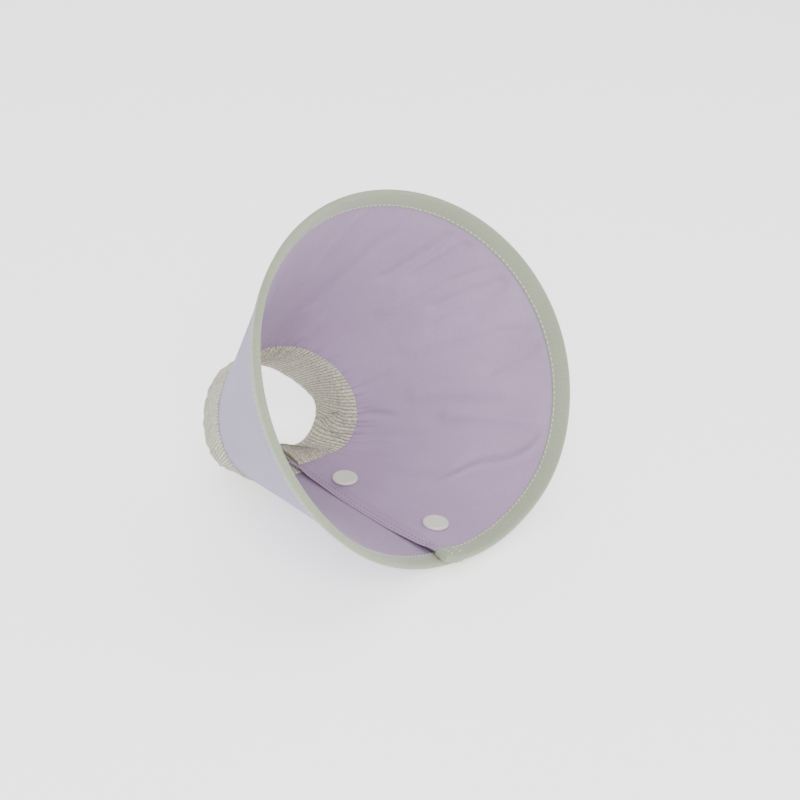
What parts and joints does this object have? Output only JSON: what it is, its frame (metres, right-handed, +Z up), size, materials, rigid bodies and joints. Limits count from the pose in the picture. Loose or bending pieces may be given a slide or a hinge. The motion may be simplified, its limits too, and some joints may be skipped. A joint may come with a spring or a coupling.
{
  "type": "elizabethan collar",
  "caption": "Soft fabric cone worn round a pet's neck to stop it licking or scratching, with a rib-knit neck cuff and a snap-closed overlap.",
  "frame": {"origin": "on the floor, under the middle of the collar's bounding box", "axes": "+Z up with the cone lying on its side, mouth towards -Y, neck towards +Y, the width of the mouth along X"},
  "size_m": [0.23, 0.1877, 0.1843],
  "materials": {
    "outer_fabric": "woven nylon, light grey lilac",
    "lining": "smooth woven lining, pinker lilac",
    "stiffener": "thin flexible plastic sheet",
    "binding": "sage bias tape",
    "knit": "oatmeal rib knit",
    "elastic": "flat woven elastic",
    "thread": "pale sewing thread",
    "edge_thread": "pinkish lilac sewing thread",
    "snap": "off-white moulded plastic, satin"
  },
  "bodies": {
    "cone": {"outer_fabric": "outer_fabric", "stiffener": "stiffener", "lining": "lining", "rim_binding": "binding", "neck_cuff": "knit", "cuff_elastic": "elastic", "rim_stitching": "thread", "snap_front_outer_cap": "snap", "snap_front_stud": "snap", "snap_rear_outer_cap": "snap", "snap_rear_stud": "snap"},
    "closure_flap": {"flap_outer_fabric": "outer_fabric", "flap_stiffener": "stiffener", "flap_lining": "lining", "flap_rim_binding": "binding", "flap_neck_cuff": "knit", "flap_cuff_elastic": "elastic", "flap_rim_stitching": "thread", "flap_edge_stitching_1": "edge_thread", "flap_edge_stitching_2": "edge_thread", "snap_front_socket": "snap", "snap_front_inner_cap": "snap", "snap_rear_socket": "snap", "snap_rear_inner_cap": "snap"}
  },
  "joints": [
    {"name": "flap_fold", "type": "hinge", "parent": "cone", "child": "closure_flap", "pos_m": [0.02236, -0.02425, 0.01355], "axis": [-0.3969, 0.9178, -0.0026], "range_deg": [0, 60]}
  ]
}
